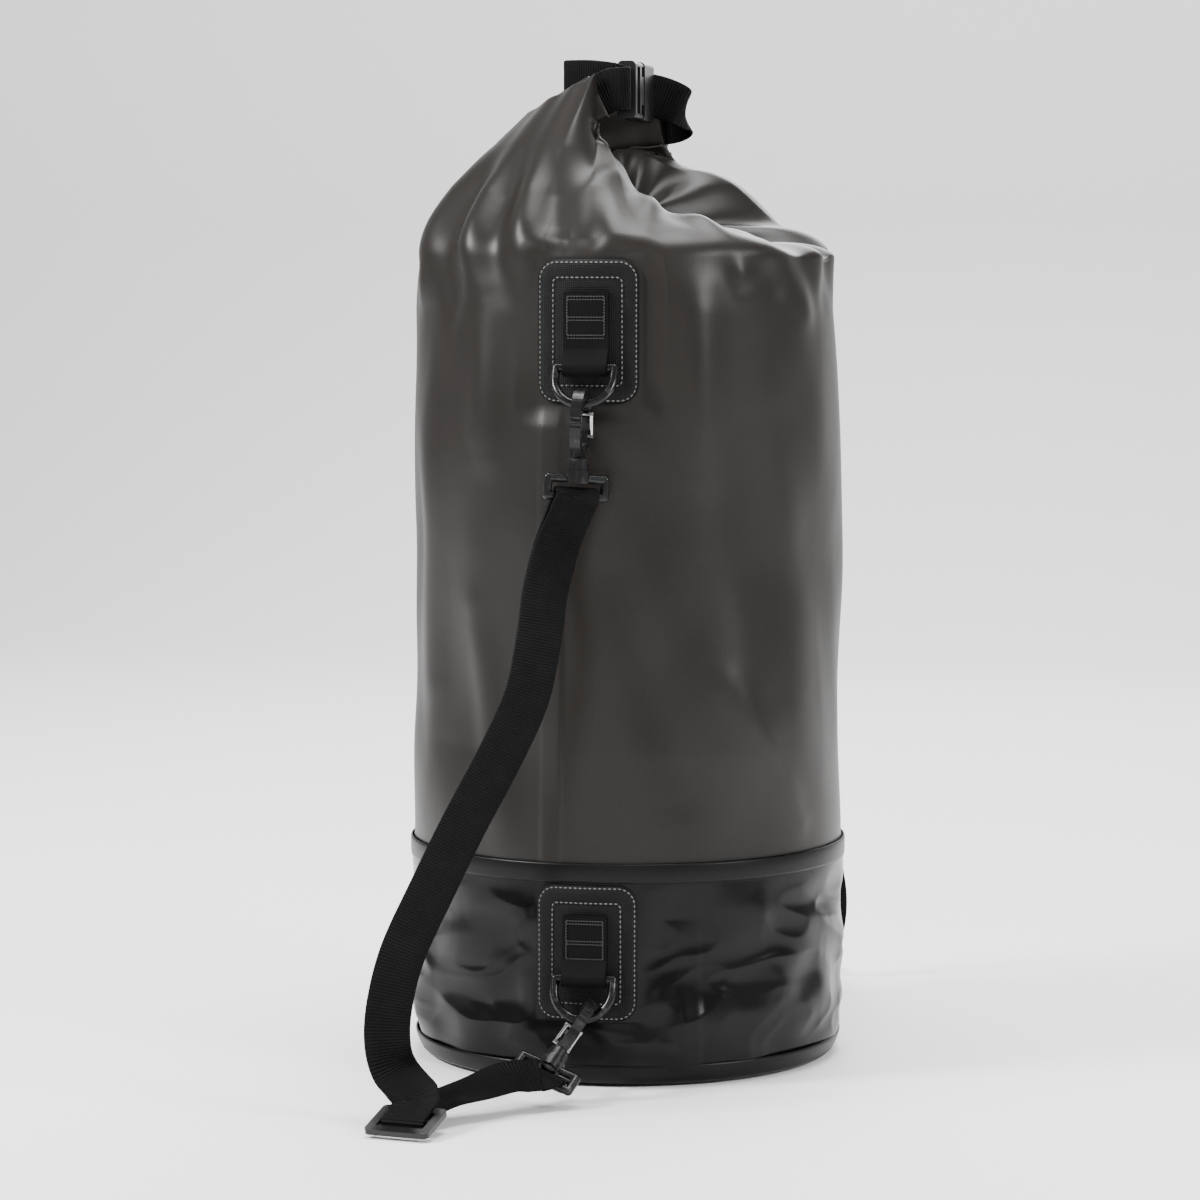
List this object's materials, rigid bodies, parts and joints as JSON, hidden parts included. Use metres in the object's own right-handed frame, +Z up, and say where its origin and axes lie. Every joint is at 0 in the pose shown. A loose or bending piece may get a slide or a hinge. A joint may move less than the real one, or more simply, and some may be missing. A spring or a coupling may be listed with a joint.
{
  "type": "rope storage bag",
  "caption": "Standing roll-top rope storage bag with welded patches, D-rings, snap hooks and adjustable webbing shoulder straps.",
  "frame": {"origin": "centre of the round base, on the floor", "axes": "+Z up the bag's axis; -Y towards the front patches and shoulder strap; +X to the right seen from the front"},
  "size_m": [0.2564, 0.5568, 0.5815],
  "materials": {
    "coated_fabric": "satin",
    "boot_fabric": "satin",
    "webbing": "matte",
    "black_plastic": "satin",
    "black_metal": "satin",
    "gate_wire": "satin"
  },
  "bodies": {
    "bag": {"base_disc": "boot_fabric", "lower_boot": "boot_fabric", "bottom_band": "boot_fabric", "seam_band": "boot_fabric", "upper_body": "coated_fabric", "roof": "coated_fabric", "mouth_roll": "coated_fabric", "roll_stiffener": "black_plastic", "patch_front_upper": "boot_fabric", "patch_front_lower": "boot_fabric", "patch_back_upper": "boot_fabric", "patch_back_lower": "boot_fabric", "tab_front_upper": "webbing", "tab_front_lower": "webbing", "tab_back_upper": "webbing", "tab_back_lower": "webbing", "strap_front": "webbing", "strap_back": "webbing", "closure_web_near": "webbing", "closure_web_far": "webbing", "closure_tail": "webbing", "buckle_socket": "black_plastic"},
    "chain_front_upper": {"ring_front_upper": "black_metal", "eye_front_upper": "black_metal"},
    "hook_front_upper": {"hook_front_upper": "black_metal"},
    "gate_front_upper": {"gate_front_upper": "gate_wire"},
    "chain_front_lower": {"ring_front_lower": "black_metal", "eye_front_lower": "black_metal"},
    "hook_front_lower": {"hook_front_lower": "black_metal"},
    "gate_front_lower": {"gate_front_lower": "gate_wire"},
    "slider_front": {"slider_front": "black_plastic"},
    "chain_back_upper": {"ring_back_upper": "black_metal", "eye_back_upper": "black_metal"},
    "hook_back_upper": {"hook_back_upper": "black_metal"},
    "gate_back_upper": {"gate_back_upper": "gate_wire"},
    "chain_back_lower": {"ring_back_lower": "black_metal", "eye_back_lower": "black_metal"},
    "hook_back_lower": {"hook_back_lower": "black_metal"},
    "gate_back_lower": {"gate_back_lower": "gate_wire"},
    "slider_back": {"slider_back": "black_plastic"},
    "plug": {"buckle_plug": "black_plastic"},
    "prong_upper": {"buckle_prong_upper": "black_plastic"},
    "prong_lower": {"buckle_prong_lower": "black_plastic"}
  },
  "joints": [
    {"name": "ring_swing_front_upper", "type": "hinge", "parent": "bag", "child": "chain_front_upper", "pos_m": [0, -0.13008, 0.406], "axis": [-1, 0, 0], "range_deg": [0, 45], "deforming": ["strap_front"]},
    {"name": "hook_swivel_front_upper", "type": "hinge", "parent": "chain_front_upper", "child": "hook_front_upper", "pos_m": [-0.00188, -0.14347, 0.35018], "axis": [0.0523, 0.0523, 0.9973], "range_deg": [-24, 24]},
    {"name": "gate_open_front_upper", "type": "hinge", "parent": "hook_front_upper", "child": "gate_front_upper", "pos_m": [-0.00089, -0.13101, 0.36853], "axis": [0.9986, -0.0027, -0.0523], "range_deg": [0, 20], "stiffness_Nm_per_rad": 0.08, "springref_deg": -17.19},
    {"name": "ring_swing_front_lower", "type": "hinge", "parent": "bag", "child": "chain_front_lower", "pos_m": [0, -0.1342, 0.064], "axis": [-1, 0, 0], "range_deg": [0, 50], "deforming": ["strap_front"]},
    {"name": "hook_swivel_front_lower", "type": "hinge", "parent": "chain_front_lower", "child": "hook_front_lower", "pos_m": [-0.01112, -0.17089, 0.0227], "axis": [0.309, 0.7694, 0.559], "range_deg": [-64, 0]},
    {"name": "gate_open_front_lower", "type": "hinge", "parent": "hook_front_lower", "child": "gate_front_lower", "pos_m": [-0.01017, -0.14687, 0.02812], "axis": [0.8065, 0.0995, -0.5827], "range_deg": [0, 9], "stiffness_Nm_per_rad": 0.08, "springref_deg": -17.19},
    {"name": "slider_shift_front", "type": "slide", "parent": "bag", "child": "slider_front", "axis": [-0.1677, -0.9513, -0.2588], "range_m": [-0.012, 0.006], "deforming": ["strap_front"]},
    {"name": "ring_swing_back_upper", "type": "hinge", "parent": "bag", "child": "chain_back_upper", "pos_m": [0, 0.13008, 0.406], "axis": [1, 0, 0], "range_deg": [0, 45], "deforming": ["strap_back"]},
    {"name": "hook_swivel_back_upper", "type": "hinge", "parent": "chain_back_upper", "child": "hook_back_upper", "pos_m": [0.00188, 0.14347, 0.35018], "axis": [-0.0523, -0.0523, 0.9973], "range_deg": [-24, 24]},
    {"name": "gate_open_back_upper", "type": "hinge", "parent": "hook_back_upper", "child": "gate_back_upper", "pos_m": [0.00089, 0.13101, 0.36853], "axis": [-0.9986, 0.0027, -0.0523], "range_deg": [0, 20], "stiffness_Nm_per_rad": 0.08, "springref_deg": -17.19},
    {"name": "ring_swing_back_lower", "type": "hinge", "parent": "bag", "child": "chain_back_lower", "pos_m": [0, 0.1342, 0.064], "axis": [1, 0, 0], "range_deg": [0, 50], "deforming": ["strap_back"]},
    {"name": "hook_swivel_back_lower", "type": "hinge", "parent": "chain_back_lower", "child": "hook_back_lower", "pos_m": [0.01112, 0.17089, 0.0227], "axis": [-0.309, -0.7694, 0.559], "range_deg": [-64, 0]},
    {"name": "gate_open_back_lower", "type": "hinge", "parent": "hook_back_lower", "child": "gate_back_lower", "pos_m": [0.01017, 0.14687, 0.02812], "axis": [-0.8065, -0.0995, -0.5827], "range_deg": [0, 9], "stiffness_Nm_per_rad": 0.08, "springref_deg": -17.19},
    {"name": "slider_shift_back", "type": "slide", "parent": "bag", "child": "slider_back", "axis": [0.1677, 0.9513, -0.2588], "range_m": [-0.012, 0.006], "deforming": ["strap_back"]},
    {"name": "buckle_release", "type": "slide", "parent": "bag", "child": "plug", "axis": [0, -1, 0], "range_m": [0, 0.022], "deforming": ["closure_web_near", "closure_tail", "buckle_prong_upper", "buckle_prong_lower"]},
    {"name": "prong_squeeze_upper", "type": "hinge", "parent": "plug", "child": "prong_upper", "pos_m": [0.0035, -0.002, 0.575], "axis": [-1, 0, 0], "range_deg": [0, 8], "stiffness_Nm_per_rad": 0.2},
    {"name": "prong_squeeze_lower", "type": "hinge", "parent": "plug", "child": "prong_lower", "pos_m": [0.0035, -0.002, 0.553], "axis": [1, 0, 0], "range_deg": [0, 8], "stiffness_Nm_per_rad": 0.2}
  ],
  "couplings": [
    {"joint": "prong_squeeze_lower", "follows": "prong_squeeze_upper", "ratio": 1}
  ]
}
